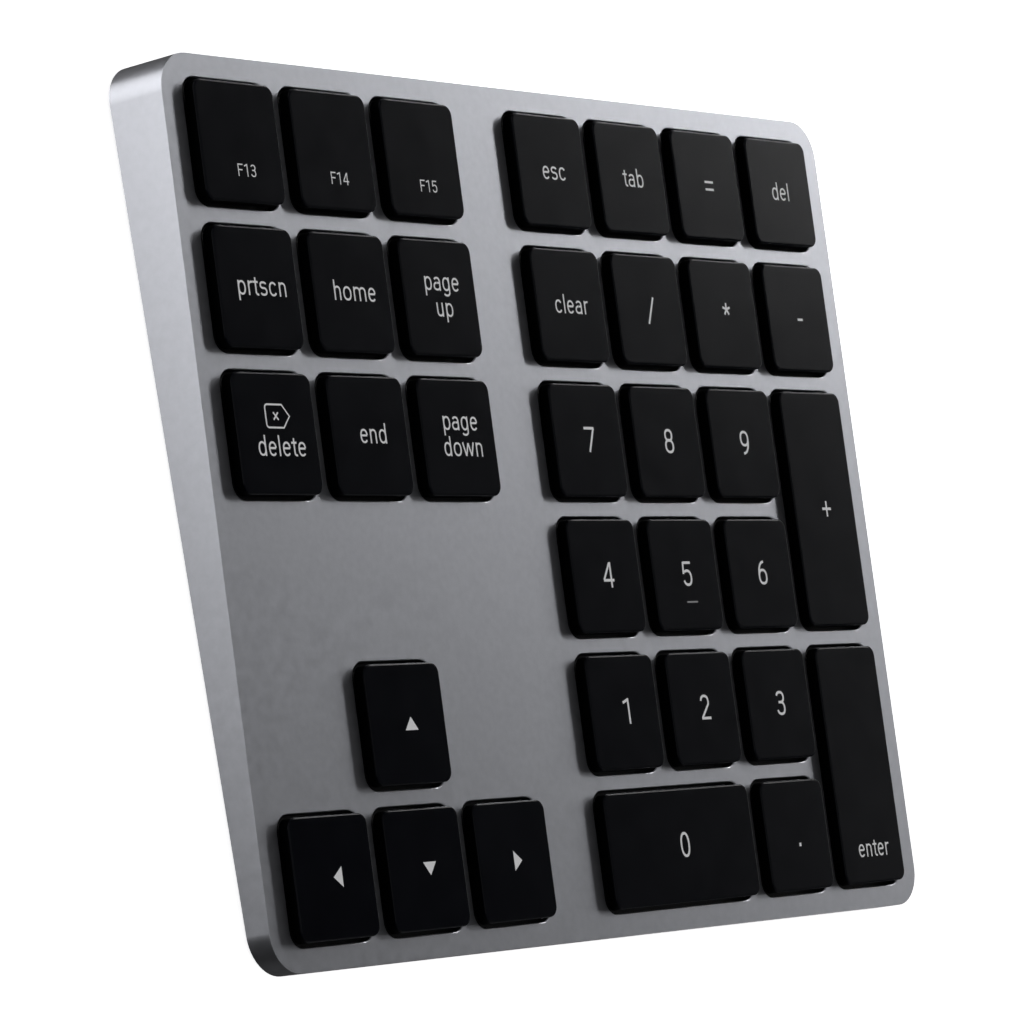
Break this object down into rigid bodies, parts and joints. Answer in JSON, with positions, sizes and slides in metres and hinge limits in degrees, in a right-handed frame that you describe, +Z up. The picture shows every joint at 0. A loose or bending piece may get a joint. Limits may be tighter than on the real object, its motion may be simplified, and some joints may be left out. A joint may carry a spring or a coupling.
{
  "type": "numeric keypad",
  "caption": "Low wedge-shaped metal numeric keypad with flat square scissor-supported keys, stabilised long keys, rubber feet, and a charging socket and power switch in its back edge.",
  "frame": {"origin": "centre of the whole keypad's footprint, on the table plane that its feet stand on", "axes": "+X to the user's right, +Y away from the user towards the raised back edge, +Z up. The deck slopes down towards the user by 2.74 degrees, and the keys move square to it."},
  "size_m": [0.1498, 0.1184, 0.0115],
  "materials": {
    "anodised": "bead-blasted, dark grey anodised",
    "keycap": "satin black with white printed legends",
    "cover": "bead-blasted, dark grey anodised",
    "steel": "plain",
    "film": "clear polyester with printed tracks",
    "silicone": "milky silicone",
    "rubber": "matt",
    "board": "green solder mask",
    "pouch": "laminated foil",
    "lead": "wire insulation",
    "black_plastic": "moulded",
    "legend": "white print on the keycaps",
    "white_plastic": "moulded"
  },
  "bodies": {
    "case": {"battery": "pouch", "battery_lead": "lead", "battery_socket": "white_plastic", "bottom_cover": "cover", "circuit_board": "board", "controller_chip": "black_plastic", "cover_screw_1": "steel", "cover_screw_2": "steel", "cover_screw_3": "steel", "cover_screw_4": "steel", "dome_sheet": "silicone", "flat_cable": "film", "flat_cable_socket": "white_plastic", "foot_back_left": "rubber", "foot_back_right": "rubber", "foot_front_left": "rubber", "foot_front_right": "rubber", "membrane": "film", "power_switch_body": "black_plastic", "switch_plate": "steel", "top_case": "anodised", "usb_c_port": "steel"},
    "key_f13": {"key_f13": "keycap"},
    "key_f14": {"key_f14": "keycap"},
    "key_f15": {"key_f15": "keycap"},
    "key_print_screen": {"key_print_screen": "keycap"},
    "key_home": {"key_home": "keycap"},
    "key_page_up": {"key_page_up": "keycap"},
    "key_delete": {"key_delete": "keycap"},
    "key_end": {"key_end": "keycap"},
    "key_page_down": {"key_page_down": "keycap"},
    "key_arrow_up": {"key_arrow_up": "keycap"},
    "key_arrow_left": {"key_arrow_left": "keycap"},
    "key_arrow_down": {"key_arrow_down": "keycap"},
    "key_arrow_right": {"key_arrow_right": "keycap"},
    "key_esc": {"key_esc": "keycap"},
    "key_tab": {"key_tab": "keycap"},
    "key_equals": {"key_equals": "keycap"},
    "key_del": {"key_del": "keycap"},
    "key_clear": {"key_clear": "keycap"},
    "key_divide": {"key_divide": "keycap"},
    "key_multiply": {"key_multiply": "keycap"},
    "key_minus": {"key_minus": "keycap"},
    "key_seven": {"key_seven": "keycap"},
    "key_eight": {"key_eight": "keycap"},
    "key_nine": {"key_nine": "keycap"},
    "key_plus": {"key_plus": "keycap"},
    "key_four": {"key_four": "keycap"},
    "key_five": {"key_five": "keycap"},
    "key_six": {"key_six": "keycap"},
    "key_one": {"key_one": "keycap"},
    "key_two": {"key_two": "keycap"},
    "key_three": {"key_three": "keycap"},
    "key_enter": {"key_enter": "keycap"},
    "key_zero": {"key_zero": "keycap"},
    "key_point": {"key_point": "keycap"},
    "power_switch": {"power_switch_slider": "black_plastic"},
    "stabiliser_zero": {"stabiliser_zero": "steel"},
    "stabiliser_plus": {"stabiliser_plus": "steel"},
    "stabiliser_enter": {"stabiliser_enter": "steel"}
  },
  "joints": [
    {"name": "press_f13", "type": "slide", "parent": "case", "child": "key_f13", "axis": [0, 0.0478, -0.9989], "range_m": [0, 0.0014], "stiffness_N_per_m": 300, "springref_m": -0.0005, "deforming": ["dome_sheet"]},
    {"name": "press_f14", "type": "slide", "parent": "case", "child": "key_f14", "axis": [0, 0.0478, -0.9989], "range_m": [0, 0.0014], "stiffness_N_per_m": 300, "springref_m": -0.0005, "deforming": ["dome_sheet"]},
    {"name": "press_f15", "type": "slide", "parent": "case", "child": "key_f15", "axis": [0, 0.0478, -0.9989], "range_m": [0, 0.0014], "stiffness_N_per_m": 300, "springref_m": -0.0005, "deforming": ["dome_sheet"]},
    {"name": "press_print_screen", "type": "slide", "parent": "case", "child": "key_print_screen", "axis": [0, 0.0478, -0.9989], "range_m": [0, 0.0014], "stiffness_N_per_m": 300, "springref_m": -0.0005, "deforming": ["dome_sheet"]},
    {"name": "press_home", "type": "slide", "parent": "case", "child": "key_home", "axis": [0, 0.0478, -0.9989], "range_m": [0, 0.0014], "stiffness_N_per_m": 300, "springref_m": -0.0005, "deforming": ["dome_sheet"]},
    {"name": "press_page_up", "type": "slide", "parent": "case", "child": "key_page_up", "axis": [0, 0.0478, -0.9989], "range_m": [0, 0.0014], "stiffness_N_per_m": 300, "springref_m": -0.0005, "deforming": ["dome_sheet"]},
    {"name": "press_delete", "type": "slide", "parent": "case", "child": "key_delete", "axis": [0, 0.0478, -0.9989], "range_m": [0, 0.0014], "stiffness_N_per_m": 300, "springref_m": -0.0005, "deforming": ["dome_sheet"]},
    {"name": "press_end", "type": "slide", "parent": "case", "child": "key_end", "axis": [0, 0.0478, -0.9989], "range_m": [0, 0.0014], "stiffness_N_per_m": 300, "springref_m": -0.0005, "deforming": ["dome_sheet"]},
    {"name": "press_page_down", "type": "slide", "parent": "case", "child": "key_page_down", "axis": [0, 0.0478, -0.9989], "range_m": [0, 0.0014], "stiffness_N_per_m": 300, "springref_m": -0.0005, "deforming": ["dome_sheet"]},
    {"name": "press_arrow_up", "type": "slide", "parent": "case", "child": "key_arrow_up", "axis": [0, 0.0478, -0.9989], "range_m": [0, 0.0014], "stiffness_N_per_m": 300, "springref_m": -0.0005, "deforming": ["dome_sheet"]},
    {"name": "press_arrow_left", "type": "slide", "parent": "case", "child": "key_arrow_left", "axis": [0, 0.0478, -0.9989], "range_m": [0, 0.0014], "stiffness_N_per_m": 300, "springref_m": -0.0005, "deforming": ["dome_sheet"]},
    {"name": "press_arrow_down", "type": "slide", "parent": "case", "child": "key_arrow_down", "axis": [0, 0.0478, -0.9989], "range_m": [0, 0.0014], "stiffness_N_per_m": 300, "springref_m": -0.0005, "deforming": ["dome_sheet"]},
    {"name": "press_arrow_right", "type": "slide", "parent": "case", "child": "key_arrow_right", "axis": [0, 0.0478, -0.9989], "range_m": [0, 0.0014], "stiffness_N_per_m": 300, "springref_m": -0.0005, "deforming": ["dome_sheet"]},
    {"name": "press_esc", "type": "slide", "parent": "case", "child": "key_esc", "axis": [0, 0.0478, -0.9989], "range_m": [0, 0.0014], "stiffness_N_per_m": 300, "springref_m": -0.0005, "deforming": ["dome_sheet"]},
    {"name": "press_tab", "type": "slide", "parent": "case", "child": "key_tab", "axis": [0, 0.0478, -0.9989], "range_m": [0, 0.0014], "stiffness_N_per_m": 300, "springref_m": -0.0005, "deforming": ["dome_sheet"]},
    {"name": "press_equals", "type": "slide", "parent": "case", "child": "key_equals", "axis": [0, 0.0478, -0.9989], "range_m": [0, 0.0014], "stiffness_N_per_m": 300, "springref_m": -0.0005, "deforming": ["dome_sheet"]},
    {"name": "press_del", "type": "slide", "parent": "case", "child": "key_del", "axis": [0, 0.0478, -0.9989], "range_m": [0, 0.0014], "stiffness_N_per_m": 300, "springref_m": -0.0005, "deforming": ["dome_sheet"]},
    {"name": "press_clear", "type": "slide", "parent": "case", "child": "key_clear", "axis": [0, 0.0478, -0.9989], "range_m": [0, 0.0014], "stiffness_N_per_m": 300, "springref_m": -0.0005, "deforming": ["dome_sheet"]},
    {"name": "press_divide", "type": "slide", "parent": "case", "child": "key_divide", "axis": [0, 0.0478, -0.9989], "range_m": [0, 0.0014], "stiffness_N_per_m": 300, "springref_m": -0.0005, "deforming": ["dome_sheet"]},
    {"name": "press_multiply", "type": "slide", "parent": "case", "child": "key_multiply", "axis": [0, 0.0478, -0.9989], "range_m": [0, 0.0014], "stiffness_N_per_m": 300, "springref_m": -0.0005, "deforming": ["dome_sheet"]},
    {"name": "press_minus", "type": "slide", "parent": "case", "child": "key_minus", "axis": [0, 0.0478, -0.9989], "range_m": [0, 0.0014], "stiffness_N_per_m": 300, "springref_m": -0.0005, "deforming": ["dome_sheet"]},
    {"name": "press_seven", "type": "slide", "parent": "case", "child": "key_seven", "axis": [0, 0.0478, -0.9989], "range_m": [0, 0.0014], "stiffness_N_per_m": 300, "springref_m": -0.0005, "deforming": ["dome_sheet"]},
    {"name": "press_eight", "type": "slide", "parent": "case", "child": "key_eight", "axis": [0, 0.0478, -0.9989], "range_m": [0, 0.0014], "stiffness_N_per_m": 300, "springref_m": -0.0005, "deforming": ["dome_sheet"]},
    {"name": "press_nine", "type": "slide", "parent": "case", "child": "key_nine", "axis": [0, 0.0478, -0.9989], "range_m": [0, 0.0014], "stiffness_N_per_m": 300, "springref_m": -0.0005, "deforming": ["dome_sheet"]},
    {"name": "press_plus", "type": "slide", "parent": "case", "child": "key_plus", "axis": [0, 0.0478, -0.9989], "range_m": [0, 0.0014], "stiffness_N_per_m": 300, "springref_m": -0.0005, "deforming": ["dome_sheet"]},
    {"name": "press_four", "type": "slide", "parent": "case", "child": "key_four", "axis": [0, 0.0478, -0.9989], "range_m": [0, 0.0014], "stiffness_N_per_m": 300, "springref_m": -0.0005, "deforming": ["dome_sheet"]},
    {"name": "press_five", "type": "slide", "parent": "case", "child": "key_five", "axis": [0, 0.0478, -0.9989], "range_m": [0, 0.0014], "stiffness_N_per_m": 300, "springref_m": -0.0005, "deforming": ["dome_sheet"]},
    {"name": "press_six", "type": "slide", "parent": "case", "child": "key_six", "axis": [0, 0.0478, -0.9989], "range_m": [0, 0.0014], "stiffness_N_per_m": 300, "springref_m": -0.0005, "deforming": ["dome_sheet"]},
    {"name": "press_one", "type": "slide", "parent": "case", "child": "key_one", "axis": [0, 0.0478, -0.9989], "range_m": [0, 0.0014], "stiffness_N_per_m": 300, "springref_m": -0.0005, "deforming": ["dome_sheet"]},
    {"name": "press_two", "type": "slide", "parent": "case", "child": "key_two", "axis": [0, 0.0478, -0.9989], "range_m": [0, 0.0014], "stiffness_N_per_m": 300, "springref_m": -0.0005, "deforming": ["dome_sheet"]},
    {"name": "press_three", "type": "slide", "parent": "case", "child": "key_three", "axis": [0, 0.0478, -0.9989], "range_m": [0, 0.0014], "stiffness_N_per_m": 300, "springref_m": -0.0005, "deforming": ["dome_sheet"]},
    {"name": "press_enter", "type": "slide", "parent": "case", "child": "key_enter", "axis": [0, 0.0478, -0.9989], "range_m": [0, 0.0014], "stiffness_N_per_m": 300, "springref_m": -0.0005, "deforming": ["dome_sheet"]},
    {"name": "press_zero", "type": "slide", "parent": "case", "child": "key_zero", "axis": [0, 0.0478, -0.9989], "range_m": [0, 0.0014], "stiffness_N_per_m": 300, "springref_m": -0.0005, "deforming": ["dome_sheet"]},
    {"name": "press_point", "type": "slide", "parent": "case", "child": "key_point", "axis": [0, 0.0478, -0.9989], "range_m": [0, 0.0014], "stiffness_N_per_m": 300, "springref_m": -0.0005, "deforming": ["dome_sheet"]},
    {"name": "power_switch_slide", "type": "slide", "parent": "case", "child": "power_switch", "axis": [1, 0, 0], "range_m": [0, 0.002]},
    {"name": "stabiliser_zero_turn", "type": "hinge", "parent": "case", "child": "stabiliser_zero", "pos_m": [0.0145, -0.0488, 0.00367], "axis": [-1, 0, 0], "range_deg": [0, 11.6]},
    {"name": "stabiliser_plus_turn", "type": "hinge", "parent": "case", "child": "stabiliser_plus", "pos_m": [0.0608, -0.00015, 0.006], "axis": [0, 0.9989, 0.0478], "range_deg": [0, 11.6]},
    {"name": "stabiliser_enter_turn", "type": "hinge", "parent": "case", "child": "stabiliser_enter", "pos_m": [0.0608, -0.03811, 0.00418], "axis": [0, 0.9989, 0.0478], "range_deg": [0, 11.6]}
  ],
  "couplings": [
    {"joint": "stabiliser_zero_turn", "follows": "press_zero", "rad_per_m": 144.18},
    {"joint": "stabiliser_plus_turn", "follows": "press_plus", "rad_per_m": 144.18},
    {"joint": "stabiliser_enter_turn", "follows": "press_enter", "rad_per_m": 144.18}
  ]
}
